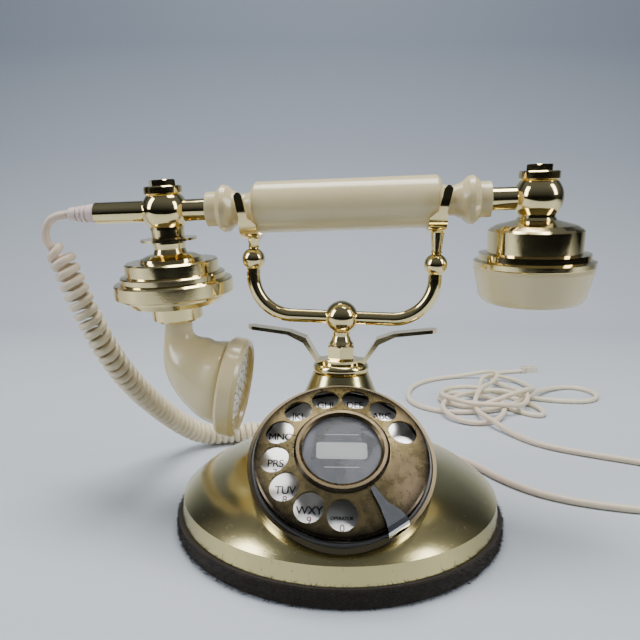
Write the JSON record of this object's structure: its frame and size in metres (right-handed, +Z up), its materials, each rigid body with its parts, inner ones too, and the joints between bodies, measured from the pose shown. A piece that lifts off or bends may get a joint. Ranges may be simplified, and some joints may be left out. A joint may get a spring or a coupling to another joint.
{
  "type": "rotary telephone",
  "caption": "Pedestal cradle telephone with a flared round brass base, rotary dial, forked cradle, ivory handset with a horn mouthpiece, and a curly cord",
  "frame": {"origin": "centre of the round felt underside, on the surface it stands on", "axes": "+Z up, the dial faces -Y, the receiver end of the handset is toward +X"},
  "size_m": [0.3988, 0.43, 0.1809],
  "materials": {
    "aged_brass": "satin polished, lightly worn",
    "dial_brass": "aged, brown patina",
    "bright_brass": "mirror polished and lacquered",
    "ivory": "glossy, a little yellowed",
    "felt": "short dark pile",
    "black_plastic": "moulded",
    "steel": "zinc plated",
    "chrome": "polished",
    "plate_enamel": "printed plate",
    "card": "printed card",
    "window": "clear",
    "gear_brass": "machined",
    "contact_metal": "spring strip",
    "coil_winding": "taped winding",
    "board": "laminate",
    "board_parts": "moulded parts",
    "sleeve": "soft moulded",
    "cord": "smooth jacket",
    "plug": "clear moulded"
  },
  "bodies": {
    "base": {"base_shell": "aged_brass", "base_ring": "black_plastic", "felt_cover": "felt", "bottom_plate": "steel", "base_screws": "steel", "cord_grommets": "sleeve", "neck_cap": "aged_brass", "carry_bar": "aged_brass", "gland_nut": "aged_brass", "plunger_bush": "steel", "dial_cup": "black_plastic", "number_plate": "plate_enamel", "finger_stop": "chrome", "dial_frame": "steel", "pulse_springs": "contact_metal", "switch_bracket": "steel", "switch_springs": "contact_metal", "ringer_bracket": "steel", "gongs": "gear_brass", "gong_screws": "steel", "ringer_coils": "coil_winding", "network_board": "board", "board_parts": "board_parts", "cord_leads": "cord", "handset_coil": "cord", "line_cord": "cord", "cord_bundle": "cord", "line_plug": "plug"},
    "cradle": {"cradle_post": "bright_brass", "post_screw": "bright_brass", "cradle_tube": "bright_brass", "arm_balls": "bright_brass", "cradle_forks": "bright_brass", "plunger_rod": "steel", "plunger_spring": "steel"},
    "dial": {"finger_wheel": "dial_brass", "centre_ring": "dial_brass", "number_card": "card", "card_window": "window", "dial_shaft": "steel", "main_gear": "gear_brass"},
    "cam": {"impulse_cam": "gear_brass"},
    "governor": {"governor": "gear_brass"},
    "clapper": {"ringer_clapper": "steel"},
    "handset": {"handset_rod": "bright_brass", "handle_grip": "ivory", "ball_clamps": "bright_brass", "knurled_rings": "bright_brass", "clamp_bolts": "bright_brass", "receiver_shell": "bright_brass", "receiver_cap": "ivory", "receiver_capsule": "black_plastic", "transmitter_washer": "bright_brass", "transmitter_shell": "bright_brass", "horn_collar": "bright_brass", "microphone_capsule": "black_plastic", "horn": "ivory", "mouthpiece_cup": "ivory", "mouthpiece_grille": "ivory", "strain_sleeve": "sleeve"}
  },
  "joints": [
    {"name": "hook_travel", "type": "slide", "parent": "base", "child": "cradle", "axis": [0, 0, 1], "range_m": [0, 0.004], "stiffness_N_per_m": 150, "springref_m": 0.022, "deforming": ["plunger_spring"]},
    {"name": "handset_lift", "type": "slide", "parent": "cradle", "child": "handset", "axis": [0, 0, 1], "range_m": [0, 0.03]},
    {"name": "dial_turn", "type": "hinge", "parent": "base", "child": "dial", "pos_m": [0, -0.0505, 0.0524], "axis": [0, 0.5962, -0.8028], "range_deg": [0, 316], "stiffness_Nm_per_rad": 0.01, "springref_deg": -57.3},
    {"name": "cam_turn", "type": "hinge", "parent": "base", "child": "cam", "pos_m": [-0.01908, -0.05607, 0.04826], "axis": [0, 0.5962, -0.8028], "range_deg": [-1264, 0]},
    {"name": "governor_turn", "type": "hinge", "parent": "base", "child": "governor", "pos_m": [-0.02305, -0.06485, 0.04174], "axis": [0, 0.5962, -0.8028], "range_deg": [0, 2318]},
    {"name": "clapper_swing", "type": "hinge", "parent": "base", "child": "clapper", "pos_m": [0, 0.0503, 0.0155], "axis": [0, 0, 1], "range_deg": [-12, 12]}
  ],
  "couplings": [
    {"joint": "cam_turn", "follows": "dial_turn", "ratio": -4},
    {"joint": "governor_turn", "follows": "dial_turn", "ratio": 7.3333}
  ]
}
